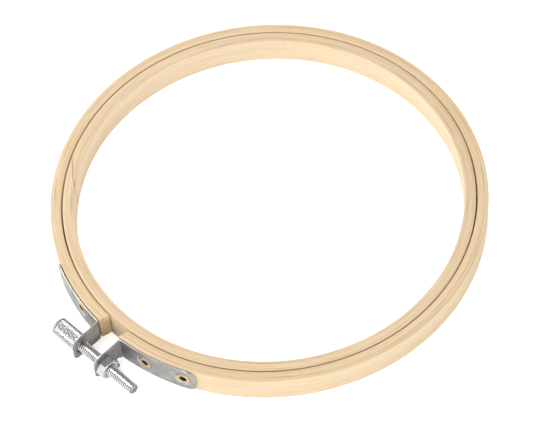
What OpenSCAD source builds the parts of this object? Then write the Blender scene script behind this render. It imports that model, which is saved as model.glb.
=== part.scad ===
// Round screw hoop for embroidery: a split outer ring that a thumbscrew draws
// tight round a closed inner ring. The ring axis is Z, the hoop lies on z = 0,
// and the cut in the outer ring faces -Y with the screw running along X.

/* [Rings] */
// Outside diameter of the outer ring
hoop_d = 152; // [100:1:300]
// Height of both rings
ring_h = 10.5; // [9:0.5:20]
// Thickness of the outer ring's strip
outer_strip_t = 3.8; // [2.5:0.1:8]
// Thickness of the inner ring's strip
inner_strip_t = 4; // [2:0.1:8]
// Room between the two rings for the cloth
cloth_gap = 0.3; // [0.1:0.05:1.5]
// Width of the cut between the outer ring's ends
split_w = 9.2; // [4:0.2:14]
// Angle that the cut makes with the radius
split_slant = 12.5; // [-20:0.5:20]

/* [Brackets] */
// Thickness of the sheet steel
sheet_t = 0.7; // [0.4:0.05:1.5]
// Space left between strap and wood
strap_fit = 0.05; // [0.02:0.01:0.2]
// How far the strap's long edges stay inside the ring's faces
strap_inset = 0.15; // [0.05:0.05:1]
// Corner radius at the strap's tip
strap_tip_r = 3.2; // [0.5:0.1:4]
// Strap beyond its last rivet
strap_tip_l = 4.7; // [3.5:0.1:10]
// Inside radius of the bend from strap to lug
bend_r = 0.5; // [0.2:0.1:1.5]
// Distance between the two lugs
lug_gap = 9.6; // [6:0.2:20]
// Metal of the lug beyond the screw's axis
lug_margin = 4.2; // [4:0.1:8]
// Radius of the lug's upper corner
lug_top_r = 3.4; // [0.5:0.1:3.8]
// Radius of the lug's lower corner
lug_bottom_r = 2; // [0.5:0.1:3]
// How far the turned lip stands out under the nut
lip_w = 2.2; // [0.8:0.1:3]
// Radius of the relief notch between bend and lip
notch_r = 1; // [0.4:0.1:1.5]

/* [Rivets] */
// Diameter of the rivet's shank
rivet_d = 3; // [2:0.1:4]
// Diameter of the hole through the rivet
rivet_hole_d = 2; // [0.8:0.1:2.6]
// Diameter of the rivet's head
rivet_head_d = 5.2; // [4:0.1:7]
// Thickness of the rivet's head
rivet_head_t = 0.45; // [0.3:0.05:1]
// Diameter of the rivet's rolled tail
rivet_tail_d = 4.4; // [4:0.1:6]
// Thickness of the rivet's rolled tail
rivet_tail_t = 0.4; // [0.2:0.05:0.8]
// How deep the tail lies below the wood
tail_recess = 0.2; // [0.1:0.05:0.5]
// Space round the rivet in steel and wood
rivet_fit = 0.05; // [0.02:0.01:0.2]
// Distance along the strap from lug to first rivet
first_rivet = 9.4; // [6:0.1:15]
// Distance along the strap between the rivets
rivet_pitch = 14.7; // [8:0.1:25]
// How far the knob's side has its rivets above the ring's middle
left_rivet_rise = 1.2; // [0:0.1:1.6]

/* [Screw] */
// Diameter of the screw
screw_d = 4; // [3:0.1:5]
// Length of the screw beyond the knob's face
screw_l = 25.8; // [18:0.1:45]
// Distance of the screw's axis from the outer ring
screw_out = 8.4; // [7:0.1:14]
// Chamfer at the screw's tip
screw_tip = 0.5; // [0.1:0.1:1]
// Radial clearance of the screw in the nut and lugs
running_fit = 0.08; // [0.02:0.01:0.1]
// Extra length of the loose hole in the knob's lug
slot_l = 1.6; // [0:0.1:2.5]

/* [Nut and knob] */
// Width of the nut across its flats
nut_af = 7; // [6:0.1:9]
// Thickness of the nut
nut_t = 3.2; // [2:0.1:5]
// Space between a seated piece and its seat
seat_fit = 0.05; // [0.02:0.01:0.2]
// Diameter of the knob
knob_d = 6.6; // [6:0.1:8.5]
// Length of the knob
knob_l = 11.7; // [6:0.1:25]
// Chamfer round the knob's ends
knob_chamfer = 0.7; // [0.1:0.1:1.2]
// Metal left at the end of the knob's bore
knob_floor = 2.2; // [1:0.1:5]
// Radial clearance of the screw pressed into the knob
press_fit = 0.02; // [0.01:0.01:0.05]

/* [Hidden] */

$fn = 96;
HEX_SIDES = 6;
// Extra length of a cutter past the faces it cuts
CUT = 1;
// Flats that make up the strap's and the bend's curves
STRAP_STEPS = 24;
BEND_STEPS = 8;
// How far the arcs at the strap's tip stay short of tangent to its edges
TIP_EASE = 0.1;

hoop_r = hoop_d / 2;
outer_ring_inner_r = hoop_r - outer_strip_t;
inner_ring_r = outer_ring_inner_r - cloth_gap;

strap_r = hoop_r + strap_fit;
strap_face_r = strap_r + sheet_t;
strap_bottom = strap_inset;
strap_w = ring_h - 2 * strap_inset;
strap_top = strap_bottom + strap_w;

lug_x = lug_gap / 2;
lug_face_x = lug_x + sheet_t;
bend_x = lug_face_x + bend_r;
bend_y = sqrt(pow(strap_face_r + bend_r, 2) - pow(bend_x, 2));
bend_angle = atan2(bend_x, bend_y);

// The nut's lower flat rests on the lip, which is level with the strap's edge
screw_y = -(hoop_r + screw_out);
screw_z = strap_bottom + sheet_t + seat_fit + nut_af / 2;
lug_end = hoop_r + screw_out + lug_margin;

rivet_angles = [for (i = [0, 1]) bend_angle + arc_angle(first_rivet + i * rivet_pitch)];
strap_tip_angle = rivet_angles[1] + arc_angle(strap_tip_l);

RIGHT = 1;
LEFT = -1;

WOOD_OUTER = [0.90, 0.80, 0.64];
WOOD_INNER = [0.92, 0.83, 0.68];
SHEET_STEEL = [0.62, 0.62, 0.62];
PLATED_STEEL = [0.80, 0.80, 0.80];
BRASS = [0.78, 0.62, 0.36];

// Points along an arc, both ends included
function arc_points(centre, r, from, to, steps) = [
    for (i = [0:steps])
        let (angle = from + (to - from) * i / steps)
            centre + r * [cos(angle), sin(angle)]
];

// Angle round the ring that a length along the strap covers
function arc_angle(length) = length / strap_face_r * 180 / PI;

// Turns a shape built on the right side to the side named
module on_side(side) {
    mirror([side == LEFT ? 1 : 0, 0, 0]) children();
}

// Stands children at an angle from -Y and rise above the ring's middle, with
// their Z pointing out from the ring
module radially(angle, rise) {
    rotate([0, 0, angle]) translate([0, 0, ring_h / 2 + rise]) rotate([90, 0, 0]) children();
}

// Lays children along the screw's axis, from x towards +X
module along_screw(x) {
    translate([x, screw_y, screw_z]) rotate([0, 90, 0]) children();
}

module strip_ring(outside_r, strip_t) {
    rotate_extrude() translate([outside_r - strip_t, 0]) square([strip_t, ring_h]);
}

// Bore for a rivet's shank, with the recess for its tail inside the ring
module rivet_bore(angle, rise) {
    bore_from = outer_ring_inner_r - CUT;
    radially(angle, rise) translate([0, 0, bore_from]) {
        cylinder(r = rivet_d / 2 + rivet_fit, h = strap_face_r + CUT - bore_from);
        cylinder(r = rivet_tail_d / 2 + rivet_fit, h = CUT + tail_recess + rivet_tail_t);
    }
}

module outer_ring() {
    cut_y = -(hoop_r - outer_strip_t / 2);
    cut_l = outer_strip_t + 4 * CUT;
    color(WOOD_OUTER) difference() {
        strip_ring(hoop_r, outer_strip_t);
        translate([0, cut_y, 0]) rotate([0, 0, -split_slant])
            translate([-split_w / 2, -cut_l / 2, -CUT])
                cube([split_w, cut_l, ring_h + 2 * CUT]);
        for (angle = rivet_angles) {
            rivet_bore(LEFT * angle, left_rivet_rise);
            rivet_bore(RIGHT * angle, 0);
        }
    }
}

module inner_ring() {
    color(WOOD_INNER) strip_ring(inner_ring_r, inner_strip_t);
}

// Cutter for an outer corner of radius r, its centre at the origin
module corner_waste(r) {
    difference() {
        square(r + CUT);
        circle(r);
    }
}

// One sheet seen from above: strap, bend and lug, closed round its thickness
module sheet_outline() {
    bend_centre = [bend_x, -bend_y];
    outer_side = concat(
        arc_points([0, 0], strap_face_r, strap_tip_angle - 90, bend_angle - 90, STRAP_STEPS),
        arc_points(bend_centre, bend_r, 90 + bend_angle, 180, BEND_STEPS),
        [[lug_face_x, -lug_end]]
    );
    inner_side = concat(
        [[lug_x, -lug_end]],
        arc_points(bend_centre, bend_r + sheet_t, 180, 90 + bend_angle, BEND_STEPS),
        arc_points([0, 0], strap_r, bend_angle - 90, strap_tip_angle - 90, STRAP_STEPS)
    );
    polygon(concat(outer_side, inner_side));
}

// Rounds the corners at the strap's tip
module strap_tip_waste() {
    for (up = [0, 1])
        radially(strap_tip_angle, 0) mirror([0, up, 0])
            translate([TIP_EASE - strap_tip_r, strap_w / 2 + TIP_EASE - strap_tip_r, strap_r - CUT])
                linear_extrude(sheet_t + 2 * CUT) corner_waste(strap_tip_r);
}

// Rounds the lug's two corners
module lug_end_waste() {
    translate([lug_face_x + CUT, 0, 0]) rotate([90, 0, -90]) linear_extrude(sheet_t + 2 * CUT) {
        translate([lug_end - lug_top_r, strap_top - lug_top_r]) corner_waste(lug_top_r);
        translate([lug_end - lug_bottom_r, strap_bottom + lug_bottom_r])
            mirror([0, 1]) corner_waste(lug_bottom_r);
    }
}

// Loose hole for the screw, longer than it is wide by slot
module screw_hole(slot) {
    hole_r = screw_d / 2 + running_fit;
    for (end = [-slot / 2, slot / 2])
        translate([0, end, 0]) along_screw(lug_x - CUT)
            cylinder(r = hole_r, h = sheet_t + 2 * CUT);
    if (slot > 0)
        translate([lug_x - CUT, screw_y - slot / 2, screw_z - hole_r])
            cube([sheet_t + 2 * CUT, slot, 2 * hole_r]);
}

// Strap and lug with their holes: slot lengthens the screw's, rise lifts the rivets'
module bracket(slot, rise) {
    difference() {
        translate([0, 0, strap_bottom]) linear_extrude(strap_w) sheet_outline();
        for (angle = rivet_angles) rivet_bore(angle, rise);
        strap_tip_waste();
        lug_end_waste();
        screw_hole(slot);
    }
}

module left_bracket() {
    color(SHEET_STEEL) on_side(LEFT) bracket(slot_l, left_rivet_rise);
}

// The nut's lug has a lip turned out under the nut, which stops it turning
module right_bracket() {
    notch_y = bend_y + notch_r + bend_r;
    lip_start = notch_y + notch_r;
    lip_l = lug_end - lug_bottom_r - lip_start;
    color(SHEET_STEEL) {
        difference() {
            bracket(0, 0);
            translate([lug_x - CUT, -notch_y, strap_bottom]) rotate([0, 90, 0])
                cylinder(r = notch_r, h = sheet_t + 2 * CUT);
        }
        translate([lug_x + sheet_t / 2, -lip_start - lip_l, strap_bottom])
            cube([sheet_t / 2 + lip_w, lip_l, sheet_t]);
    }
}

module rivet(angle, rise) {
    shank_from = outer_ring_inner_r + tail_recess;
    head_from = strap_face_r + strap_fit;
    color(BRASS) radially(angle, rise) difference() {
        union() {
            translate([0, 0, shank_from])
                cylinder(d = rivet_d, h = head_from + rivet_head_t - shank_from);
            translate([0, 0, shank_from]) cylinder(d = rivet_tail_d, h = rivet_tail_t - rivet_fit);
            translate([0, 0, head_from]) cylinder(d = rivet_head_d, h = rivet_head_t);
        }
        translate([0, 0, shank_from - CUT])
            cylinder(d = rivet_hole_d, h = head_from - shank_from + rivet_head_t + 2 * CUT);
    }
}

module left_rivet_1() { rivet(LEFT * rivet_angles[0], left_rivet_rise); }
module left_rivet_2() { rivet(LEFT * rivet_angles[1], left_rivet_rise); }
module right_rivet_1() { rivet(RIGHT * rivet_angles[0], 0); }
module right_rivet_2() { rivet(RIGHT * rivet_angles[1], 0); }

module hex_nut() {
    corner_d = nut_af / cos(180 / HEX_SIDES);
    color(PLATED_STEEL) along_screw(lug_face_x + seat_fit) difference() {
        rotate([0, 0, 90]) cylinder(d = corner_d, h = nut_t, $fn = HEX_SIDES);
        translate([0, 0, -CUT]) cylinder(r = screw_d / 2 + running_fit, h = nut_t + 2 * CUT);
    }
}

module clamp_screw() {
    in_knob = knob_l - knob_floor - press_fit;
    knob_face_x = -lug_face_x - seat_fit;
    color(PLATED_STEEL) along_screw(knob_face_x - in_knob) {
        cylinder(d = screw_d, h = in_knob + screw_l - screw_tip);
        translate([0, 0, in_knob + screw_l - screw_tip])
            cylinder(d1 = screw_d, d2 = screw_d - 2 * screw_tip, h = screw_tip);
    }
}

module knurled_knob() {
    knob_face_x = -lug_face_x - seat_fit;
    color(PLATED_STEEL) along_screw(knob_face_x - knob_l) difference() {
        union() {
            cylinder(d1 = knob_d - 2 * knob_chamfer, d2 = knob_d, h = knob_chamfer);
            translate([0, 0, knob_chamfer]) cylinder(d = knob_d, h = knob_l - 2 * knob_chamfer);
            translate([0, 0, knob_l - knob_chamfer])
                cylinder(d1 = knob_d, d2 = knob_d - 2 * knob_chamfer, h = knob_chamfer);
        }
        translate([0, 0, knob_floor])
            cylinder(r = screw_d / 2 + press_fit, h = knob_l);
    }
}

outer_ring();
inner_ring();
left_bracket();
right_bracket();
left_rivet_1();
left_rivet_2();
right_rivet_1();
right_rivet_2();
hex_nut();
clamp_screw();
knurled_knob();
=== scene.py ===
"""A round bamboo embroidery hoop with its thumbscrew clamp, seen on a pale table."""
import math

import bmesh
import bpy
from mathutils import Matrix, Vector


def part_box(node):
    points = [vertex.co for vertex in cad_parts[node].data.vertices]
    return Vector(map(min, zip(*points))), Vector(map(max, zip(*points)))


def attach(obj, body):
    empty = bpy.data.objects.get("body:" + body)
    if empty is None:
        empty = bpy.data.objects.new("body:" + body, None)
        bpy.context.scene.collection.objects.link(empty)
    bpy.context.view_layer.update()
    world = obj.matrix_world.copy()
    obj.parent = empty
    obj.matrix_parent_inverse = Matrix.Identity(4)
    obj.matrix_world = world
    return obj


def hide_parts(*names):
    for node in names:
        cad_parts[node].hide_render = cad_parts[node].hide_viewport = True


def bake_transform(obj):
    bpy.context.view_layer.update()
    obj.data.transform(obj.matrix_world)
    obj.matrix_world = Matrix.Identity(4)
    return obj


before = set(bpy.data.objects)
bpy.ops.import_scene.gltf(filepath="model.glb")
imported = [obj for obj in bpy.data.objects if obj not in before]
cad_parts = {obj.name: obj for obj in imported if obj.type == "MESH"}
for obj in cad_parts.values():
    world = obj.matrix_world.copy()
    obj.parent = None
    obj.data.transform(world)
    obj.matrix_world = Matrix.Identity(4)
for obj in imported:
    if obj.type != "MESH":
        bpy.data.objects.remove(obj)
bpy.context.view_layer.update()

MM = 0.001
FULL_TURN = 2 * math.pi
RIGHT = 1
LEFT = -1
WELD = 0.002 * MM
CREASE = 32

# Material slots on a strip or a sheet
SIDE_SLOT = 0
EDGE_SLOT = 1
SAWN_SLOT = 2

# The hoop's own sizes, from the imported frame
HOOP_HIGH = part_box("outer_ring")[1]
HOOP_R = HOOP_HIGH.y
RING_H = HOOP_HIGH.z
INNER_RING_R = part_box("inner_ring")[1].x
SCREW_LOW, SCREW_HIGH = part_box("clamp_screw")
SCREW_Y = (SCREW_LOW.y + SCREW_HIGH.y) / 2
SCREW_Z = (SCREW_LOW.z + SCREW_HIGH.z) / 2
SCREW_R = (SCREW_HIGH.z - SCREW_LOW.z) / 2
KNOB_LOW, KNOB_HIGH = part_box("knurled_knob")
NUT_LOW, NUT_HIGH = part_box("hex_nut")
LUG_LOW, LUG_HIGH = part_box("right_bracket")
LUG_END = -LUG_LOW.y
STRAP_BOTTOM = LUG_LOW.z
STRAP_TOP = LUG_HIGH.z
LIP_X = 7.7 * MM

# Wood; the heights of the painted seam shade are in millimetres
OUTER_STRIP_T = 3.8 * MM
INNER_STRIP_T = 4.0 * MM
STRIP_ROUND = 0.35 * MM
STRIP_STEP = 1.2 * MM
SPLIT_W = 9.2 * MM
SPLIT_SLANT = math.radians(12.5)
SPLIT_ANGLE = math.radians(270)
SAWN_ROUND = 0.12 * MM
WORN_ROUND = 1.5 * MM
END_ROUND = 0.4 * MM
LAP_ANGLE = math.radians(215)
LAP_SPREAD = math.radians(6)
LAP_GAP = 0.16 * MM
LAP_OVERRUN = 0.96
LAP_WAVES = ((0.12 * MM, 60, 0), (0.07 * MM, 143, 1))
TIP_T = 0.05 * MM
SEAM_R = 72.05 * MM
UNBENT_PLACE = "unbent_place"
SEAM_SHADOW = 0.32 * MM
OVAL = 0.17 * MM
OVAL_ANGLE = math.radians(-41.5)
SEAT_TAIL_R = 2.25 * MM
SEAT_TAIL_DEPTH = 0.6 * MM
SEAT_BORE_R = 1.55 * MM
SEAT_FIT = 0.2 * MM
SEAM_SHADE_LOW = 9.7
SEAM_SHADE_HIGH = 10.3

# Sheet brackets
SHEET_T = 0.45 * MM
STRAP_FIT = 0.3 * MM
BEND_R = 0.5 * MM
SHEAR_ROUND = 0.09 * MM
DIMPLE_DEPTH = 0.45 * MM
DIMPLE_RIM_R = 3.1 * MM
DIMPLE_FLOOR_R = 2.65 * MM
RIVET_HOLE_R = 1.56 * MM
DIMPLE_SEGMENTS = 40
HOLE_SEGMENTS = 32
DIMPLE_STEPS = [(3.0 * MM, 0.03 * MM), (2.88 * MM, 0.14 * MM), (2.76 * MM, 0.30 * MM),
                (DIMPLE_FLOOR_R, 0.42 * MM), (2.55 * MM, DIMPLE_DEPTH), (RIVET_HOLE_R, DIMPLE_DEPTH)]
TIP_LENGTH = 4.7 * MM
TIP_R = 3.2 * MM
LUG_TOP_R = 3.4 * MM
LUG_BOTTOM_R = 2.0 * MM
SLOT_L = 1.6 * MM
RUNNING_FIT = 0.08 * MM
NOTCH_R = 0.98 * MM
LIP_FOLD_R = 0.3 * MM
LIP_RELIEF = 0.15 * MM
LIP_CORNER_R = 0.5 * MM

STRAP_R = HOOP_R + STRAP_FIT
STRAP_FACE_R = STRAP_R + SHEET_T
LUG_FACE_X = NUT_LOW.x - 0.05 * MM
BEND_X = LUG_FACE_X + BEND_R
BEND_Y = math.sqrt((STRAP_FACE_R + BEND_R) ** 2 - BEND_X ** 2)
BEND_ANGLE = math.atan2(BEND_X, BEND_Y)
BEND_TURN = math.pi / 2 - BEND_ANGLE
BEND_LENGTH = (BEND_R + SHEET_T / 2) * BEND_TURN
LIP_FOLD_LENGTH = (LIP_FOLD_R + SHEET_T / 2) * math.pi / 2

# Rivets
HEAD_R = 2.45 * MM
TAIL_R = 2.15 * MM
SHANK_R = 1.5 * MM
TUBE_HOLE_R = 1.0 * MM

# Thread, nut and knurl
THREAD_PITCH = 25.4 / 32 * MM
THREAD_DEPTH = 0.49 * MM
THREAD_STEPS = 28
SCREW_TIP = 0.5 * MM
FLANK_ANGLE = math.radians(30)
NUT_CHAMFER_ANGLE = math.radians(30)
NUT_FACE_SHARE = 0.95
NUT_SEGMENTS = 72
COUNTERSINK = 0.3 * MM
KNURL_AROUND = 22
KNURL_ROWS = 9
KNURL_DEPTH = 0.27 * MM
KNURL_FLAT = 0.14 * MM
KNOB_R = (KNOB_HIGH.z - KNOB_LOW.z) / 2
KNOB_DOME = 0.6 * MM
KNOB_COLLAR = 0.5 * MM
DOME_RINGS = [(0.985, 0.14), (0.95, 0.34), (0.89, 0.5), (0.81, 0.59), (0.3, 0.6)]

# Light
STUDIO_STRENGTH = 1.45
KEY_POWER = 6.4
FILL_POWER = 1.8
TABLE_GLOW = 0.6


# ---------------------------------------------------------------- helpers

def edges_of(result):
    """The edges in an operator's result."""
    return [item for item in result if isinstance(item, bmesh.types.BMEdge)]


def verts_of(result):
    """The vertices in an operator's result."""
    return [item for item in result if isinstance(item, bmesh.types.BMVert)]


def join(whole, part):
    """Adds a mesh in the making to another, and frees it."""
    mesh = bpy.data.meshes.new("part")
    part.to_mesh(mesh)
    part.free()
    whole.from_mesh(mesh)
    bpy.data.meshes.remove(mesh)


def set_reach(vert, reach):
    """Moves a vertex to a distance from the Z axis, at its own height."""
    factor = reach / vert.co.xy.length
    vert.co.x *= factor
    vert.co.y *= factor


def grow_loop(bm, loop, factor=1, rise=0, centre=(0, 0)):
    """Extrudes a loop of edges, scaled about a centre and moved up; gives its edges and vertices."""
    made = bmesh.ops.extrude_edge_only(bm, edges=loop)["geom"]
    verts = verts_of(made)
    place = Matrix.Translation((-centre[0], -centre[1], 0))
    bmesh.ops.scale(bm, vec=(factor, factor, 1), space=place, verts=verts)
    bmesh.ops.translate(bm, vec=(0, 0, rise), verts=verts)
    return edges_of(made), verts


def finish_piece(name, bm, nodes, materials, crease=CREASE):
    """Closes a mesh up and makes it an object with its materials, hiding the imported parts it stands for."""
    bmesh.ops.remove_doubles(bm, verts=bm.verts[:], dist=WELD)
    bmesh.ops.recalc_face_normals(bm, faces=bm.faces[:])
    mesh = bpy.data.meshes.new(name)
    bm.to_mesh(mesh)
    bm.free()
    for material in materials:
        mesh.materials.append(material)
    mesh.shade_smooth()
    mesh.set_sharp_from_angle(angle=math.radians(crease))
    piece = bpy.data.objects.new(name, mesh)
    bpy.context.scene.collection.objects.link(piece)
    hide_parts(*nodes)
    return piece


def keep_place(piece):
    """Stores where each vertex lies at rest, so that the grain bends with the wood."""
    stored = piece.data.attributes.new(UNBENT_PLACE, "FLOAT_VECTOR", "POINT")
    for vert, value in zip(piece.data.vertices, stored.data):
        value.vector = vert.co


def weight_normals(piece):
    """Keeps large flat faces flat beside their small rounded edges."""
    modifier = piece.modifiers.new("face_weights", "WEIGHTED_NORMAL")
    modifier.keep_sharp = True


def cut_by(piece, cutter_bm):
    """Takes a cutter's shape out of a piece for good."""
    bmesh.ops.recalc_face_normals(cutter_bm, faces=cutter_bm.faces[:])
    mesh = bpy.data.meshes.new("cutter")
    cutter_bm.to_mesh(mesh)
    cutter_bm.free()
    cutter = bpy.data.objects.new("cutter", mesh)
    bpy.context.scene.collection.objects.link(cutter)
    modifier = piece.modifiers.new("cut", "BOOLEAN")
    modifier.operation = "DIFFERENCE"
    modifier.solver = "EXACT"
    modifier.object = cutter
    graph = bpy.context.evaluated_depsgraph_get()
    result = bpy.data.meshes.new_from_object(piece.evaluated_get(graph))
    piece.modifiers.clear()
    old = piece.data
    piece.data = result
    result.name = piece.name
    bpy.data.meshes.remove(old)
    bpy.data.objects.remove(cutter)
    bpy.data.meshes.remove(mesh)
    result.set_sharp_from_angle(angle=math.radians(CREASE))


def round_corners(bm, verts, radii, segments):
    """Rounds the corners of a flat outline, each to its own radius."""
    for vert, radius in zip(verts, radii):
        if radius:
            bmesh.ops.bevel(bm, geom=[vert], offset=radius, segments=segments, profile=0.5,
                            affect="VERTICES", material=-1)


def flat_outline(bm, corners, segments=6):
    """A face through corners given as x, y and radius."""
    verts = [bm.verts.new((x, y, 0)) for x, y, _ in corners]
    bm.faces.new(verts)
    round_corners(bm, verts, [radius for _, _, radius in corners], segments)


def lathe(corners, segments, rounding_steps=3):
    """A closed turned body round Z from corners given as radius, height and rounding."""
    bm = bmesh.new()
    flat_outline(bm, corners, rounding_steps)
    bmesh.ops.rotate(bm, verts=bm.verts[:], cent=(0, 0, 0),
                     matrix=Matrix.Rotation(math.pi / 2, 3, "X"))
    bmesh.ops.delete(bm, geom=bm.faces[:], context="FACES_ONLY")
    bmesh.ops.spin(bm, geom=bm.verts[:] + bm.edges[:], cent=(0, 0, 0), axis=(0, 0, 1),
                   angle=FULL_TURN, steps=segments, use_merge=True)
    bmesh.ops.remove_doubles(bm, verts=bm.verts[:], dist=WELD / 2)
    return bm


def radial_matrix(angle, z):
    """Turns Z outwards from the ring at an angle from -Y, level with z."""
    return (Matrix.Rotation(angle, 4, "Z") @ Matrix.Translation((0, 0, z))
            @ Matrix.Rotation(math.pi / 2, 4, "X"))


def rivet_place(node):
    """Angle from -Y and height of a rivet."""
    low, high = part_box(node)
    middle = (low + high) / 2
    return math.atan2(middle.x, -middle.y), middle.z


RIVETS = {side: [rivet_place(f"{name}_rivet_{n}") for n in (1, 2)]
          for side, name in ((RIGHT, "right"), (LEFT, "left"))}


# ---------------------------------------------------------------- camera and light

def set_camera():
    """Looks down on the hoop over the clamp, a little rolled."""
    turn = math.radians(48.5)
    rise = math.radians(54.74)
    roll = math.radians(4.7)
    distance = 871.2 * MM
    offset_right = 1.0 * MM
    offset_up = 3.97 * MM
    level_right = Vector((math.cos(turn), math.sin(turn), 0))
    level_up = Vector((-math.sin(turn) * math.sin(rise), math.cos(turn) * math.sin(rise),
                       math.cos(rise)))
    back = level_right.cross(level_up)
    right = level_right * math.cos(roll) - level_up * math.sin(roll)
    up = level_right * math.sin(roll) + level_up * math.cos(roll)
    place = Vector((0, 0, RING_H / 2)) - offset_right * right - offset_up * up + distance * back
    camera_data = bpy.data.cameras.new("camera")
    camera_data.lens = 168.9
    camera_data.sensor_width = 36
    camera_data.clip_start = 0.01
    camera = bpy.data.objects.new("camera", camera_data)
    camera.matrix_world = Matrix.Translation(place) @ Matrix((right, up, back)).transposed().to_4x4()
    bpy.context.scene.collection.objects.link(camera)
    bpy.context.scene.camera = camera


def soft_light(name, place, size, power):
    """A square lamp that faces the hoop."""
    data = bpy.data.lights.new(name, "AREA")
    data.size = size
    data.energy = power
    lamp = bpy.data.objects.new(name, data)
    aim = (-Vector(place)).to_track_quat("-Z", "Y")
    lamp.matrix_world = Matrix.Translation(place) @ aim.to_matrix().to_4x4()
    bpy.context.scene.collection.objects.link(lamp)


def set_light():
    """Even light from all round, paler near the table than overhead, and two soft lamps."""
    bpy.context.scene.view_settings.view_transform = "Standard"
    world = bpy.data.worlds.new("studio")
    bpy.context.scene.world = world
    world.use_nodes = True
    tree = world.node_tree
    background = tree.nodes["Background"]
    direction = tree.nodes.new("ShaderNodeTexCoord")
    split = tree.nodes.new("ShaderNodeSeparateXYZ")
    ramp = tree.nodes.new("ShaderNodeValToRGB")
    tree.links.new(direction.outputs["Generated"], split.inputs["Vector"])
    tree.links.new(split.outputs["Z"], ramp.inputs["Fac"])
    tree.links.new(ramp.outputs["Color"], background.inputs["Color"])
    ramp.color_ramp.elements[0].position = 0.25
    ramp.color_ramp.elements[0].color = (1.0, 1.0, 1.0, 1)
    ramp.color_ramp.elements[1].position = 0.7
    ramp.color_ramp.elements[1].color = (0.12, 0.12, 0.125, 1)
    background.inputs["Strength"].default_value = STUDIO_STRENGTH
    soft_light("key_light", (-0.35, -0.25, 0.9), 0.6, KEY_POWER)
    soft_light("fill_light", (0.7, -0.5, 0.6), 0.6, FILL_POWER)


def lay_table():
    """The pale table: it glows to the camera alone, and not under the seam between the rings."""
    table, tree, shader = new_material("pale_table")
    shader.inputs["Base Color"].default_value = (0.93, 0.93, 0.925, 1)
    shader.inputs["Roughness"].default_value = 0.9
    shader.inputs["Emission Color"].default_value = (1.0, 1.0, 1.0, 1)
    ray = add(tree, "ShaderNodeLightPath").outputs["Is Camera Ray"]
    place = add(tree, "ShaderNodeTexCoord").outputs["Object"]
    reach = add(tree, "ShaderNodeVectorMath", operation="LENGTH", i0=place).outputs[1]
    from_seam = maths(tree, "ABSOLUTE", maths(tree, "SUBTRACT", reach, SEAM_R))
    open_floor = maths(tree, "GREATER_THAN", from_seam, SEAM_SHADOW)
    glow = maths(tree, "MULTIPLY", maths(tree, "MULTIPLY", ray, open_floor), TABLE_GLOW)
    tree.links.new(glow, shader.inputs["Emission Strength"])
    bm = bmesh.new()
    bmesh.ops.create_grid(bm, x_segments=1, y_segments=1, size=4)
    mesh = bpy.data.meshes.new("table_top")
    bm.to_mesh(mesh)
    bm.free()
    mesh.transform(Matrix.Translation((0, 0, -0.05 * MM)))
    mesh.materials.append(table)
    floor = bpy.data.objects.new("table_top", mesh)
    bpy.context.scene.collection.objects.link(floor)


# ---------------------------------------------------------------- materials

def feed(tree, socket, value):
    """Links a socket to another, or gives it a plain value."""
    if isinstance(value, bpy.types.NodeSocket):
        tree.links.new(value, socket)
    else:
        socket.default_value = value


def add(tree, kind, **settings):
    """A node with its properties and inputs set; i0, i1 and so on are inputs by number."""
    made = tree.nodes.new(kind)
    for name, value in settings.items():
        if hasattr(made, name):
            setattr(made, name, value)
        else:
            place = int(name[1:]) if name[1:].isdigit() else name.replace("_", " ")
            feed(tree, made.inputs[place], value)
    return made


def maths(tree, operation, first, second=0.5):
    """One step of arithmetic on values or sockets."""
    return add(tree, "ShaderNodeMath", operation=operation, i0=first, i1=second).outputs[0]


def remap(tree, value, low, high, to_low=0.0, to_high=1.0):
    """A value brought from one range to another and held there."""
    return add(tree, "ShaderNodeMapRange", i0=value, i1=low, i2=high, i3=to_low, i4=to_high).outputs[0]


def noise(tree, vector, scale, detail=3.0, roughness=0.55):
    """Soft noise, from 0 to 1."""
    return add(tree, "ShaderNodeTexNoise", Vector=vector, Scale=scale, Detail=detail,
               Roughness=roughness).outputs[0]


def blend_colours(tree, share, first, second):
    """Two colours, or colour sockets, mixed by a share; 6 and 7 are the node's colour inputs."""
    mixed = tree.nodes.new("ShaderNodeMix")
    mixed.data_type = "RGBA"
    for number, value in ((0, share), (6, first), (7, second)):
        feed(tree, mixed.inputs[number], value)
    return mixed.outputs[2]


def new_material(name):
    """A material, its node tree and its main shader."""
    material = bpy.data.materials.new(name)
    material.use_nodes = True
    tree = material.node_tree
    return material, tree, tree.nodes["Principled BSDF"]


def strip_axes(tree, seam_angle):
    """Millimetres along a bent strip that starts and ends at a seam, across it, and up it."""
    place = add(tree, "ShaderNodeAttribute", attribute_name=UNBENT_PLACE).outputs["Vector"]
    turned = add(tree, "ShaderNodeMapping", Vector=place,
                 Rotation=(0, 0, math.pi - seam_angle)).outputs[0]
    split = add(tree, "ShaderNodeSeparateXYZ", i0=turned).outputs
    angle = maths(tree, "ARCTAN2", split[1], split[0])
    along = maths(tree, "MULTIPLY", angle, HOOP_R / MM)
    reach = add(tree, "ShaderNodeVectorMath", operation="LENGTH",
                i0=add(tree, "ShaderNodeCombineXYZ", i0=split[0], i1=split[1]).outputs[0]).outputs[1]
    across = maths(tree, "MULTIPLY", reach, 1 / MM)
    up = maths(tree, "MULTIPLY", split[2], 1 / MM)
    return along, across, up


def stretched(tree, axes, along, across, up, shift=0.0):
    """A vector that squeezes each of a strip's axes by its own factor."""
    scaled = [maths(tree, "MULTIPLY", axis, factor) for axis, factor in zip(axes, (along, across, up))]
    moved = maths(tree, "ADD", scaled[0], shift)
    return add(tree, "ShaderNodeCombineXYZ", i0=moved, i1=scaled[1], i2=scaled[2]).outputs[0]


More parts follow.
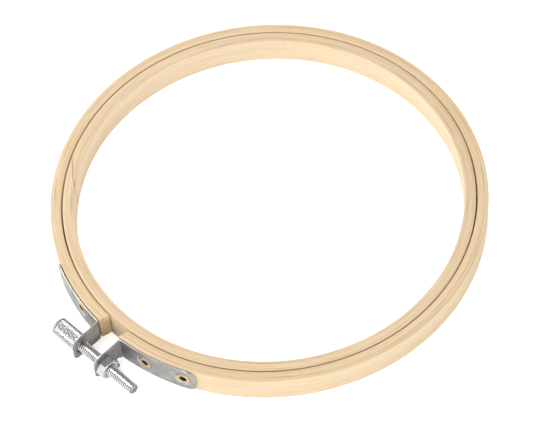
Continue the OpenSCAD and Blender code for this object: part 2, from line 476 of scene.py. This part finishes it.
def bamboo(name, pale, deep, seam_angle, shift, line_strength, streak_r):
    """Sanded bamboo: bands, fibres along the strip, a few flecks, and painted shade along the seam where the
    rings meet.
    """
    material, tree, shader = new_material(name)
    axes = strip_axes(tree, seam_angle)
    bands = noise(tree, stretched(tree, axes, 0.012, 0.7, 0.55, shift), 1.0, 2.0)
    fibres = noise(tree, stretched(tree, axes, 0.05, 4.0, 3.2, shift), 1.0, 4.0, 0.65)
    fine = noise(tree, stretched(tree, axes, 0.25, 16.0, 13.0, shift), 1.0, 2.0)
    clouds = noise(tree, stretched(tree, axes, 0.06, 0.3, 0.3, shift + 7), 1.0, 2.0)
    flecks = noise(tree, stretched(tree, axes, 0.35, 2.2, 2.2, shift + 3), 1.0, 2.0)
    colour = blend_colours(tree, remap(tree, bands, 0.3, 0.7), pale, deep)
    lines = remap(tree, fibres, 0.47, 0.68)
    dark = (deep[0] * 0.80, deep[1] * 0.72, deep[2] * 0.60, 1)
    colour = blend_colours(tree, maths(tree, "MULTIPLY", lines, line_strength), colour, dark)
    threads = remap(tree, fine, 0.48, 0.72, 0.0, 0.36)
    colour = blend_colours(tree, threads, colour, dark)
    colour = blend_colours(tree, remap(tree, clouds, 0.35, 0.75, 0.0, 0.3), colour,
                           (pale[0] * 0.96, pale[1] * 0.90, pale[2] * 0.84, 1))
    speck = (0.28, 0.17, 0.09, 1)
    colour = blend_colours(tree, remap(tree, flecks, 0.74, 0.77, 0.0, 0.75), colour, speck)
    wander = noise(tree, stretched(tree, axes, 0.03, 0.0, 0.0, shift + 5), 1.0, 2.0)
    middle = maths(tree, "ADD", maths(tree, "MULTIPLY", wander, 1.2), streak_r / MM - 0.6)
    off_streak = maths(tree, "ABSOLUTE", maths(tree, "SUBTRACT", axes[1], middle))
    patchy = remap(tree, noise(tree, stretched(tree, axes, 0.05, 0.0, 0.0, shift + 9), 1.0), 0.42, 0.6)
    streak = maths(tree, "MULTIPLY", remap(tree, off_streak, 0.05, 0.22, 0.55, 0.0), patchy)
    colour = blend_colours(tree, streak, colour, (0.30, 0.20, 0.12, 1))
    # Painted shade: the wood turns dark brown near the top of the seam between the rings, standing for the
    # shadow down the gap
    off_seam = maths(tree, "ABSOLUTE", maths(tree, "SUBTRACT", axes[1], SEAM_R / MM))
    seam_shade = maths(tree, "MULTIPLY", remap(tree, off_seam, 0.12, 0.32, 0.75, 0.0),
                  remap(tree, axes[2], SEAM_SHADE_LOW, SEAM_SHADE_HIGH))
    colour = blend_colours(tree, seam_shade, colour, (0.26, 0.14, 0.05, 1))
    tree.links.new(colour, shader.inputs["Base Color"])
    tree.links.new(remap(tree, fibres, 0.3, 0.7, 0.52, 0.68), shader.inputs["Roughness"])
    shader.inputs["Specular IOR Level"].default_value = 0.35
    relief = maths(tree, "ADD", maths(tree, "MULTIPLY", fibres, 0.7), maths(tree, "MULTIPLY", fine, 0.3))
    bump = add(tree, "ShaderNodeBump", Height=relief, Strength=0.35, Distance=0.08 * MM).outputs[0]
    tree.links.new(bump, shader.inputs["Normal"])
    return material


def sawn_bamboo(name):
    """The sawn end of a strip: browner, with the cut fibre bundles as dots."""
    material, tree, shader = new_material(name)
    axes = strip_axes(tree, SPLIT_ANGLE)
    dots = add(tree, "ShaderNodeTexVoronoi", Vector=stretched(tree, axes, 0.5, 2.6, 2.2),
               Scale=1.0).outputs["Distance"]
    stain = noise(tree, stretched(tree, axes, 0.3, 0.35, 0.3), 1.0, 3.0)
    saw = noise(tree, stretched(tree, axes, 0.3, 0.6, 9.0), 1.0, 2.0)
    colour = blend_colours(tree, remap(tree, stain, 0.35, 0.65), (0.86, 0.68, 0.45, 1), (0.68, 0.48, 0.28, 1))
    colour = blend_colours(tree, remap(tree, dots, 0.12, 0.3, 0.35, 0.0), colour, (0.34, 0.2, 0.1, 1))
    tree.links.new(colour, shader.inputs["Base Color"])
    shader.inputs["Roughness"].default_value = 0.8
    bump = add(tree, "ShaderNodeBump", Height=saw, Strength=0.5, Distance=0.08 * MM).outputs[0]
    tree.links.new(bump, shader.inputs["Normal"])
    return material


def metal(name, colour, tint, roughness, spread, grain, relief, groove_shade_span=None):
    """Metal whose colour and polish vary in patches, with a fine grain, and painted shade down its grooves.
    """
    material, tree, shader = new_material(name)
    place = add(tree, "ShaderNodeTexCoord").outputs["Object"]
    patches = noise(tree, place, 260.0, 3.0)
    fine = noise(tree, place, grain, 3.0, 0.6)
    mixed = blend_colours(tree, remap(tree, patches, 0.35, 0.7), colour, tint)
    mixed = blend_colours(tree, remap(tree, fine, 0.55, 0.8, 0.0, 0.35), mixed,
                          (tint[0] * 0.7, tint[1] * 0.7, tint[2] * 0.7, 1))
    if groove_shade_span:
        # Painted shade: the colour darkens from the crests down to the roots of the grooves, standing for the
        # shade in them
        split = add(tree, "ShaderNodeSeparateXYZ", i0=place).outputs
        flat = add(tree, "ShaderNodeCombineXYZ", i1=maths(tree, "SUBTRACT", split[1], SCREW_Y),
                   i2=maths(tree, "SUBTRACT", split[2], SCREW_Z)).outputs[0]
        reach = add(tree, "ShaderNodeVectorMath", operation="LENGTH", i0=flat).outputs[1]
        depth = remap(tree, reach, groove_shade_span[0], groove_shade_span[1], 0.72, 0.0)
        mixed = blend_colours(tree, depth, mixed, (0.16, 0.155, 0.15, 1))
    tree.links.new(mixed, shader.inputs["Base Color"])
    shader.inputs["Metallic"].default_value = 1.0
    polish = remap(tree, patches, 0.3, 0.7, roughness - spread, roughness + spread)
    tree.links.new(polish, shader.inputs["Roughness"])
    bump = add(tree, "ShaderNodeBump", Height=fine, Strength=relief, Distance=0.02 * MM).outputs[0]
    tree.links.new(bump, shader.inputs["Normal"])
    return material


OUTER_SIDE = bamboo("outer_bamboo_side", (0.95, 0.79, 0.56, 1), (0.88, 0.69, 0.46, 1),
                    SPLIT_ANGLE, 0, 0.45, 74 * MM)
OUTER_EDGE = bamboo("outer_bamboo_edge", (0.84, 0.665, 0.44, 1), (0.73, 0.545, 0.325, 1),
                    SPLIT_ANGLE, 11, 0.6, 74.6 * MM)
SAWN_END = sawn_bamboo("sawn_bamboo")
INNER_SIDE = bamboo("inner_bamboo_side", (0.94, 0.79, 0.575, 1), (0.87, 0.69, 0.47, 1),
                    LAP_ANGLE, 23, 0.5, 70 * MM)
INNER_EDGE = bamboo("inner_bamboo_edge", (0.86, 0.69, 0.47, 1), (0.72, 0.54, 0.34, 1),
                    LAP_ANGLE, 31, 0.7, 68.9 * MM)
SHEET_STEEL = metal("zinc_sheet", (0.54, 0.535, 0.525, 1), (0.41, 0.40, 0.39, 1), 0.48, 0.08, 2600.0, 0.5)
SHEARED_STEEL = metal("sheared_edge", (0.72, 0.72, 0.715, 1), (0.56, 0.56, 0.555, 1), 0.36, 0.06,
                      4000.0, 0.3)
BRIGHT_STEEL = metal("bright_plating", (0.84, 0.84, 0.835, 1), (0.70, 0.70, 0.695, 1), 0.17, 0.05,
                     3000.0, 0.2)
# The thread's and the knurl's platings carry painted shade down their grooves
THREAD_STEEL = metal("thread_plating", (0.93, 0.93, 0.925, 1), (0.82, 0.82, 0.815, 1), 0.24, 0.06,
                     3000.0, 0.2, (SCREW_R - THREAD_DEPTH, SCREW_R - 0.1 * MM))
KNURL_STEEL = metal("knurl_plating", (0.93, 0.93, 0.925, 1), (0.82, 0.82, 0.815, 1), 0.36, 0.06,
                    3000.0, 0.2, (KNOB_R - KNURL_DEPTH, KNOB_R - 0.05 * MM))
RIVET_BRASS = metal("rivet_brass", (0.88, 0.70, 0.46, 1), (0.62, 0.45, 0.25, 1), 0.32, 0.08, 2600.0, 0.3)
# Painted shade: the rivets' bores are coloured near black, standing for the shade inside the hollow shank
BORE_SHADE_BRASS = metal("dull_brass_bore_painted_shade", (0.10, 0.06, 0.035, 1), (0.06, 0.04, 0.025, 1), 0.6, 0.1,
                   2600.0, 0.3)


# ---------------------------------------------------------------- wooden strips

def strip_arc(outer_r, strip_t, start, sweep):
    """A strip with rounded edges, bent round Z from a start angle, open at both ends."""
    bm = bmesh.new()
    half_t = strip_t / 2
    half_h = RING_H / 2
    flat_outline(bm, [(-half_t, -half_h, STRIP_ROUND), (half_t, -half_h, STRIP_ROUND),
                      (half_t, half_h, STRIP_ROUND), (-half_t, half_h, STRIP_ROUND)], 3)
    bmesh.ops.delete(bm, geom=bm.faces[:], context="FACES_ONLY")
    place = (Matrix.Rotation(start, 4, "Z") @ Matrix.Translation((outer_r - half_t, 0, half_h))
             @ Matrix.Rotation(math.pi / 2, 4, "X"))
    bmesh.ops.transform(bm, matrix=place, verts=bm.verts[:])
    steps = round(abs(sweep) * outer_r / STRIP_STEP)
    bmesh.ops.spin(bm, geom=bm.verts[:] + bm.edges[:], cent=(0, 0, 0), axis=(0, 0, 1),
                   angle=sweep, steps=steps)
    return bm


def saw_off(bm, point, waste, reach):
    """Saws a strip's end off along a plane and closes it; only what lies within reach is cut."""
    near = {v for v in bm.verts if (v.co - point).length < reach}
    picked = list(near)
    picked += [e for e in bm.edges if near.issuperset(e.verts)]
    picked += [f for f in bm.faces if near.issuperset(f.verts)]
    cut = bmesh.ops.bisect_plane(bm, geom=picked, dist=0.001 * MM, plane_co=point, plane_no=waste,
                                 clear_outer=True)
    rim = edges_of(cut["geom_cut"])
    bmesh.ops.edgeloop_fill(bm, edges=rim)
    return rim


def mark_faces(bm, point=None, along=None):
    """Gives the top and bottom faces the second material, and a sawn end the third."""
    bm.normal_update()
    for face in bm.faces:
        face.material_index = EDGE_SLOT if abs(face.normal.z) > 0.7 else SIDE_SLOT
        if point and abs((face.calc_center_median() - point).dot(along)) < 0.3 * MM:
            if abs(face.normal.dot(along)) > 0.8:
                face.material_index = SAWN_SLOT


def rivet_seats(side):
    """Cutter for the rivets' holes, their tails' recesses and the dimples' hollows."""
    whole = bmesh.new()
    inner_r = HOOP_R - OUTER_STRIP_T
    floor_r = HOOP_R - DIMPLE_DEPTH - 0.05 * MM
    tail_r = inner_r + SEAT_TAIL_DEPTH
    corners = [(0, inner_r - 1 * MM, 0), (SEAT_TAIL_R, inner_r - 1 * MM, 0),
               (SEAT_TAIL_R, tail_r, 0), (SEAT_BORE_R, tail_r, 0),
               (SEAT_BORE_R, floor_r, 0), (DIMPLE_FLOOR_R + SEAT_FIT, floor_r, 0),
               (DIMPLE_RIM_R + SEAT_FIT, HOOP_R + 0.02 * MM, 0),
               (DIMPLE_RIM_R + SEAT_FIT, HOOP_R + 1 * MM, 0), (0, HOOP_R + 1 * MM, 0)]
    for angle, z in RIVETS[side]:
        seat = lathe(corners, 48)
        bmesh.ops.transform(seat, matrix=radial_matrix(angle, z), verts=seat.verts[:])
        join(whole, seat)
    return whole


def outer_half(name, side):
    """One half of the outer ring, from the seam at the back to its sawn end at the clamp."""
    short_of_full = math.radians(1.5)
    sweep = -side * (math.pi - short_of_full)
    bm = strip_arc(HOOP_R, OUTER_STRIP_T, math.pi / 2, sweep)
    seam = [e for e in bm.edges if e.is_boundary and e.verts[0].co.y > 0]
    bmesh.ops.edgeloop_fill(bm, edges=seam)
    along = Vector((math.cos(SPLIT_SLANT), -math.sin(SPLIT_SLANT), 0))
    middle = Vector((0, -(HOOP_R - OUTER_STRIP_T / 2), RING_H / 2))
    point = middle + side * along * SPLIT_W / 2
    rim = saw_off(bm, point, -side * along, 20 * MM)
    rim = [e for e in rim if e.is_valid]
    if side == RIGHT:
        worn = [e for e in rim if abs(e.verts[0].co.z - e.verts[1].co.z) > RING_H / 2
                and e.verts[0].co.xy.length > HOOP_R - OUTER_STRIP_T / 2]
        bmesh.ops.bevel(bm, geom=worn, offset=WORN_ROUND, segments=6, profile=0.5,
                        affect="EDGES", clamp_overlap=False, material=-1)
    bmesh.ops.recalc_face_normals(bm, faces=bm.faces[:])
    ends = [f for f in bm.faces if abs(f.normal.dot(along)) > 0.99
            and abs((f.calc_center_median() - point).dot(along)) < 0.01 * MM]
    rim = [e for e in max(ends, key=lambda f: f.calc_area()).edges]
    bmesh.ops.bevel(bm, geom=rim, offset=END_ROUND if side == RIGHT else SAWN_ROUND, segments=3,
                    profile=0.5, affect="EDGES", clamp_overlap=True, material=-1)
    mark_faces(bm, point, along)
    piece = finish_piece(name, bm, ["outer_ring"],
                         [OUTER_SIDE, OUTER_EDGE, SAWN_END])
    cut_by(piece, rivet_seats(side))
    keep_place(piece)
    return piece


def make_outer_ring():
    """The springy outer ring: its right half is fixed to the hoop, and its left half is left unattached where
    it was built.
    """
    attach(outer_half("outer_ring_right_half", RIGHT), "hoop")
    left = outer_half("outer_ring_left_half", LEFT)
    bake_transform(left)


def off_lap(point):
    """Angle of a point from the middle of the inner ring's lap, either way."""
    return math.remainder(math.atan2(point.y, point.x) - LAP_ANGLE, FULL_TURN)


def taper(half, side):
    """Thins a strip's end along the lap's joint, which slants through the ring and waves a little."""
    for vert in half.verts:
        off = off_lap(vert.co)
        if abs(off) > 1.02 * LAP_SPREAD:
            continue
        reach = vert.co.xy.length
        wave = sum(height * math.sin(off * pace + rise * vert.co.z / MM)
                   for height, pace, rise in LAP_WAVES)
        joint = INNER_RING_R - INNER_STRIP_T * (off / LAP_SPREAD + 1) / 2 + wave
        if side == RIGHT:
            joint = max(joint - LAP_GAP / 2, INNER_RING_R - INNER_STRIP_T + TIP_T)
            set_reach(vert, min(reach, joint))
        else:
            joint = min(joint + LAP_GAP / 2, INNER_RING_R - TIP_T)
            set_reach(vert, max(reach, joint))


def make_inner_ring():
    """The closed inner ring: one strip whose tapered ends lap, pressed a little oval."""
    whole = bmesh.new()
    for side in (LEFT, RIGHT):
        half = strip_arc(INNER_RING_R, INNER_STRIP_T, LAP_ANGLE - math.pi,
                         side * (math.pi + LAP_OVERRUN * LAP_SPREAD))
        taper(half, side)
        tip = [e for e in half.edges if e.is_boundary
               and abs(off_lap(e.verts[0].co)) < 1.5 * LAP_SPREAD]
        bmesh.ops.edgeloop_fill(half, edges=tip)
        join(whole, half)
    bmesh.ops.remove_doubles(whole, verts=whole.verts[:], dist=WELD)
    # A tip's thinnest corner folds flat on itself, which leaves a loose face to take away
    fins = [f for f in whole.faces if any(e.is_boundary for e in f.edges)]
    bmesh.ops.delete(whole, geom=fins, context="FACES")
    for vert in whole.verts:
        angle = math.atan2(vert.co.y, vert.co.x) - OVAL_ANGLE
        flat = Vector((vert.co.x, vert.co.y, 0))
        vert.co += flat.normalized() * OVAL * math.cos(2 * angle)
    mark_faces(whole)
    piece = finish_piece("inner_ring_strip", whole, ["inner_ring"],
                         [INNER_SIDE, INNER_EDGE])
    keep_place(piece)
    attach(piece, "inner")


# ---------------------------------------------------------------- sheet brackets

def fold_lip(point, lip):
    """Folds what lies below the lip's line outwards under the nut; lip is its start, end and height."""
    first, last, fold_z = lip
    if not (first <= point.x <= last and point.y < fold_z):
        return point
    down = fold_z - point.y
    turn = min(down / LIP_FOLD_LENGTH, 1) * math.pi / 2
    rest = max(down - LIP_FOLD_LENGTH, 0)
    reach = LIP_FOLD_R - point.z
    height = fold_z - reach * math.sin(turn)
    out = LIP_FOLD_R - reach * math.cos(turn) + rest
    return Vector((point.x, height, out))


def fold_lug(point):
    """Rolls the flat blank: the lug stands straight, then the bend, then the strap's curve."""
    length, height, out = point
    if length <= 0:
        return Vector((LUG_FACE_X + out, -(BEND_Y - length), height))
    if length < BEND_LENGTH:
        turn = length / BEND_LENGTH * BEND_TURN
        reach = BEND_R - out
        return Vector((BEND_X - reach * math.cos(turn), -(BEND_Y - reach * math.sin(turn)), height))
    angle = BEND_ANGLE + (length - BEND_LENGTH) / STRAP_FACE_R
    radius = STRAP_FACE_R + out
    return Vector((radius * math.sin(angle), -radius * math.cos(angle), height))


def strap_length(angle):
    """Length along the flat blank at an angle round the strap."""
    return BEND_LENGTH + (angle - BEND_ANGLE) * STRAP_FACE_R


def circle_of(bm, x, y, radius, segments):
    """A ring of edges drawn on the blank."""
    made = bmesh.ops.create_circle(bm, cap_ends=False, segments=segments, radius=radius,
                                   matrix=Matrix.Translation((x, y, 0)))
    return made["verts"]


def press_dimple(bm, x, y, rim):
    """Sinks the sheet round a rivet's hole, in rings from the dimple's rim to the hole."""
    loop = rim
    radius, depth = DIMPLE_RIM_R, 0
    for next_radius, next_depth in DIMPLE_STEPS:
        loop, _ = grow_loop(bm, loop, next_radius / radius, depth - next_depth, (x, y))
        radius, depth = next_radius, next_depth


def cut_lines(bm, axis, places, first=-math.inf, last=math.inf):
    """Adds lines across the blank between two lengths, so that it can bend there."""
    for place in places:
        chosen = [f for f in bm.faces if first < f.calc_center_median().x < last]
        verts = list({v for f in chosen for v in f.verts})
        edges = list({e for f in chosen for e in f.edges})
        bmesh.ops.bisect_plane(bm, geom=verts + edges + chosen, dist=0.0005 * MM,
                               plane_co=axis * place, plane_no=axis)


def blank_outline(side):
    """Corners of the flat blank, and its lip's start, end and height where it has one."""
    end = BEND_Y - LUG_END
    tip = strap_length(abs(RIVETS[side][1][0])) + TIP_LENGTH
    corners = [(end, STRAP_BOTTOM, LUG_BOTTOM_R)]
    lip = None
    if side == RIGHT:
        fold_z = STRAP_BOTTOM + SHEET_T + LIP_FOLD_R
        first = end + LUG_BOTTOM_R
        last = -(BEND_R + NOTCH_R) - NOTCH_R
        lip_bottom = fold_z - LIP_FOLD_LENGTH - (LIP_X - LUG_FACE_X - LIP_FOLD_R)
        lip = (first, last, fold_z)
        corners += [(first - LIP_RELIEF, STRAP_BOTTOM, 0), (first - LIP_RELIEF, fold_z, 0),
                    (first, fold_z, 0), (first, lip_bottom, LIP_CORNER_R),
                    (last, lip_bottom, LIP_CORNER_R), (last, fold_z, NOTCH_R),
                    (last + 2 * NOTCH_R, fold_z, NOTCH_R * 0.99),
                    (last + 2 * NOTCH_R, STRAP_BOTTOM, 0)]
    corners += [(tip, STRAP_BOTTOM, TIP_R), (tip, STRAP_TOP, TIP_R), (end, STRAP_TOP, LUG_TOP_R)]
    return corners, lip


def bracket(name, side, body):
    """A strap and its lug: cut from flat sheet, dimpled, bent, and shaped to the ring."""
    bm = bmesh.new()
    corners, lip = blank_outline(side)
    flat_outline(bm, corners, 8)
    bmesh.ops.delete(bm, geom=bm.faces[:], context="FACES_ONLY")
    dimples = []
    for angle, z in RIVETS[side]:
        x = strap_length(abs(angle))
        verts = circle_of(bm, x, z, DIMPLE_RIM_R, DIMPLE_SEGMENTS)
        dimples.append((x, z, list({e for v in verts for e in v.link_edges})))
    hole_x = BEND_Y + SCREW_Y
    slot = SLOT_L if side == LEFT else 0
    for vert in circle_of(bm, hole_x, SCREW_Z, SCREW_R + RUNNING_FIT, HOLE_SEGMENTS):
        vert.co.x += math.copysign(slot / 2, vert.co.x - hole_x - 0.001 * MM)
    bmesh.ops.triangle_fill(bm, edges=bm.edges[:], use_beauty=True, use_dissolve=False,
                            normal=(0, 0, 1))
    for x, z, rim in dimples:
        press_dimple(bm, x, z, rim)
    made = bmesh.ops.extrude_face_region(bm, geom=bm.faces[:])
    bmesh.ops.translate(bm, verts=verts_of(made["geom"]), vec=(0, 0, -SHEET_T))
    bmesh.ops.recalc_face_normals(bm, faces=bm.faces[:])
    sheared = [e for e in bm.edges if len(e.link_faces) == 2
               and e.calc_face_angle() > math.radians(50)
               and abs(e.verts[0].co.z - e.verts[1].co.z) < 0.01 * MM]
    bmesh.ops.bevel(bm, geom=sheared, offset=SHEAR_ROUND, segments=2, profile=0.5,
                    affect="EDGES", clamp_overlap=True, material=-1)
    bm.normal_update()
    for face in bm.faces:
        face.material_index = EDGE_SLOT if abs(face.normal.z) < 0.75 else SIDE_SLOT
    along = Vector((1, 0, 0))
    bends = [BEND_LENGTH * n / 10 for n in range(11)]
    rolls = [BEND_LENGTH + 1.2 * MM * n for n in range(1, 26)]
    cut_lines(bm, along, bends + rolls)
    if lip:
        first, last, fold_z = lip
        folds = [fold_z - LIP_FOLD_LENGTH * n / 6 for n in range(7)]
        cut_lines(bm, Vector((0, 1, 0)), folds, first, last)
    for vert in bm.verts:
        point = vert.co.copy()
        if lip:
            point = fold_lip(point, lip)
        vert.co = fold_lug(point)
    if side == LEFT:
        bmesh.ops.scale(bm, vec=(-1, 1, 1), verts=bm.verts[:])
    piece = finish_piece(name + "_bracket_sheet", bm, [name + "_bracket"],
                         [SHEET_STEEL, SHEARED_STEEL])
    weight_normals(piece)
    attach(piece, body)


# ---------------------------------------------------------------- rivets

def make_rivet(node, body):
    """A tubular brass rivet: rolled head in the dimple, hollow shank, tail rolled inside the ring."""
    angle, z = rivet_place(node)
    head_low = STRAP_FACE_R - DIMPLE_DEPTH + 0.02 * MM
    head_high = head_low + 0.5 * MM
    tail_low = HOOP_R - OUTER_STRIP_T + 0.2 * MM
    tail_high = tail_low + 0.35 * MM
    corners = [(TUBE_HOLE_R, tail_low + 0.05 * MM, 0.15 * MM),
               (TUBE_HOLE_R + 0.45 * MM, tail_low, 0.1 * MM),
               (TAIL_R, tail_low + 0.08 * MM, 0.1 * MM), (TAIL_R, tail_high, 0.05 * MM),
               (SHANK_R, tail_high, 0), (SHANK_R, head_low, 0),
               (HEAD_R - 0.05 * MM, head_low, 0.08 * MM), (HEAD_R, head_high - 0.2 * MM, 0.1 * MM),
               (HEAD_R - 0.4 * MM, head_high, 0.22 * MM),
               (TUBE_HOLE_R + 0.4 * MM, head_high - 0.05 * MM, 0.2 * MM),
               (TUBE_HOLE_R, head_high - 0.9 * MM, 0.3 * MM)]
    bm = lathe(corners, 48)
    # The bore's faces take the near-black painted shade
    for face in bm.faces:
        middle = face.calc_center_median()
        if middle.xy.length < TUBE_HOLE_R + 0.3 * MM and middle.z > tail_low + 0.3 * MM:
            face.material_index = EDGE_SLOT
    bmesh.ops.transform(bm, matrix=radial_matrix(angle, z), verts=bm.verts[:])
    piece = finish_piece(node + "_tube", bm, [node], [RIVET_BRASS, BORE_SHADE_BRASS], 50)
    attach(piece, body)


# ---------------------------------------------------------------- screw, nut and knob

def along_screw(bm, x):
    """Lays a turned body along the screw's axis, from x on."""
    place = Matrix.Translation((x, SCREW_Y, SCREW_Z)) @ Matrix.Rotation(math.pi / 2, 4, "Y")
    bmesh.ops.transform(bm, matrix=place, verts=bm.verts[:])


def make_screw():
    """The threaded rod, with a true helical thread and a chamfered tip."""
    length = SCREW_HIGH.x - SCREW_LOW.x
    root_r = SCREW_R - THREAD_DEPTH
    flank = THREAD_DEPTH * math.tan(FLANK_ANGLE) / THREAD_PITCH
    crest = 1 / 8
    root = 1 - crest - 2 * flank
    profile = [(0, root_r), (root, root_r), (root + flank, SCREW_R),
               (root + flank + crest, SCREW_R), (1, root_r)]
    bm = bmesh.new()
    verts = [bm.verts.new((radius, 0, (share - 1) * THREAD_PITCH)) for share, radius in profile]
    for first, second in zip(verts, verts[1:]):
        bm.edges.new((first, second))
    turns = math.ceil(length / THREAD_PITCH) + 2
    bmesh.ops.spin(bm, geom=bm.verts[:] + bm.edges[:], cent=(0, 0, 0), axis=(0, 0, 1),
                   angle=FULL_TURN * turns, steps=THREAD_STEPS * turns,
                   dvec=(0, 0, THREAD_PITCH / THREAD_STEPS))
    bmesh.ops.remove_doubles(bm, verts=bm.verts[:], dist=WELD)
    for end, out in ((0, -1), (length, 1)):
        cut = bmesh.ops.bisect_plane(bm, geom=bm.verts[:] + bm.edges[:] + bm.faces[:],
                                     dist=0.0005 * MM, plane_co=(0, 0, end), plane_no=(0, 0, out),
                                     clear_outer=True)
        bmesh.ops.edgeloop_fill(bm, edges=edges_of(cut["geom_cut"]))
    for vert in bm.verts:
        limit = SCREW_R - max(vert.co.z - (length - SCREW_TIP), 0)
        if vert.co.xy.length > limit:
            set_reach(vert, limit)
    along_screw(bm, SCREW_LOW.x)
    piece = finish_piece("screw_rod", bm, ["clamp_screw"], [THREAD_STEEL], 25)
    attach(piece, "screw")


def make_nut():
    """A hexagon nut, chamfered on both faces, with a countersunk bore."""
    half = (NUT_HIGH.x - NUT_LOW.x) / 2
    flat_r = (NUT_HIGH.z - NUT_LOW.z) / 2
    face_r = flat_r * NUT_FACE_SHARE
    bore_r = SCREW_R + RUNNING_FIT
    sink_r = bore_r + COUNTERSINK
    bm = bmesh.new()
    loops = [(sink_r, half), (face_r, half), (flat_r, half), (flat_r, -half), (face_r, -half),
             (sink_r, -half), (bore_r, COUNTERSINK - half), (bore_r, half - COUNTERSINK),
             (sink_r, half)]
    made = bmesh.ops.create_circle(bm, cap_ends=False, segments=NUT_SEGMENTS, radius=sink_r,
                                   matrix=Matrix.Translation((0, 0, half)))
    loop = list({e for v in made["verts"] for e in v.link_edges})
    for (radius, height), (next_radius, next_height) in zip(loops, loops[1:]):
        loop, _ = grow_loop(bm, loop, next_radius / radius, next_height - height)
    sixth = math.pi / 3
    for vert in bm.verts:
        if abs(vert.co.xy.length - flat_r) > 0.01 * MM:
            continue
        angle = math.atan2(vert.co.y, vert.co.x)
        off = (angle + sixth / 2) % sixth - sixth / 2
        corner_r = flat_r / math.cos(off)
        drop = (corner_r - face_r) * math.tan(NUT_CHAMFER_ANGLE)
        set_reach(vert, corner_r)
        vert.co.z -= math.copysign(drop, vert.co.z)
    bmesh.ops.remove_doubles(bm, verts=bm.verts[:], dist=WELD)
    along_screw(bm, (NUT_LOW.x + NUT_HIGH.x) / 2)
    piece = finish_piece("nut_body", bm, ["hex_nut"], [BRIGHT_STEEL], 25)
    weight_normals(piece)
    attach(piece, "hoop")


def make_knob():
    """The thumb knob: a diamond knurl between a domed end and a chamfered face, bored for the screw."""
    length = KNOB_HIGH.x - KNOB_LOW.x
    row_l = (length - KNOB_DOME - KNOB_COLLAR) / KNURL_ROWS
    bore_r = SCREW_R + 0.02 * MM
    bore_floor = SCREW_LOW.x - KNOB_LOW.x - 0.02 * MM
    bm = bmesh.new()
    made = bmesh.ops.create_circle(bm, cap_ends=False, segments=2 * KNURL_AROUND, radius=KNOB_R,
                                   matrix=Matrix.Translation((0, 0, KNOB_DOME)))
    first = list({e for v in made["verts"] for e in v.link_edges})
    last = first
    for _ in range(KNURL_ROWS):
        last, _ = grow_loop(bm, last, 1, row_l)
    crests = []
    step = math.pi / KNURL_AROUND
    for vert in bm.verts:
        across = round(math.atan2(vert.co.y, vert.co.x) / step)
        row = round((vert.co.z - KNOB_DOME) / row_l)
        if (across + row) % 2:
            vert.co.x *= 1 - KNURL_DEPTH / KNOB_R
            vert.co.y *= 1 - KNURL_DEPTH / KNOB_R
        elif 0 < row < KNURL_ROWS:
            crests.append(vert)
    bmesh.ops.triangulate(bm, faces=bm.faces[:], quad_method="SHORT_EDGE")
    face_rings = [(0.95, 0.2), (0.8, 0.5), (bore_r / KNOB_R, 0.5)]
    ends = ((first, DOME_RINGS, KNOB_DOME, -1), (last, face_rings, length - KNOB_COLLAR, 1))
    for loop, rings, base, way in ends:
        for share, out in rings:
            loop, verts = grow_loop(bm, loop)
            for vert in verts:
                set_reach(vert, share * KNOB_R)
                vert.co.z = base + way * out * MM
        if way > 0:
            loop, verts = grow_loop(bm, loop)
            for vert in verts:
                vert.co.z = bore_floor
        bmesh.ops.edgeloop_fill(bm, edges=loop)
    bmesh.ops.bevel(bm, geom=crests, offset=KNURL_FLAT, segments=1, profile=0.5,
                    affect="VERTICES", material=-1)
    along_screw(bm, KNOB_LOW.x)
    piece = finish_piece("knob_body", bm, ["knurled_knob"], [KNURL_STEEL], 25)
    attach(piece, "screw")


# ---------------------------------------------------------------- assembly

set_camera()
set_light()
lay_table()
make_outer_ring()
make_inner_ring()
bracket("right", RIGHT, "hoop")
bracket("left", LEFT, "left_jaw")
for number in (1, 2):
    make_rivet(f"right_rivet_{number}", "hoop")
    make_rivet(f"left_rivet_{number}", "left_jaw")
make_nut()
make_screw()
make_knob()
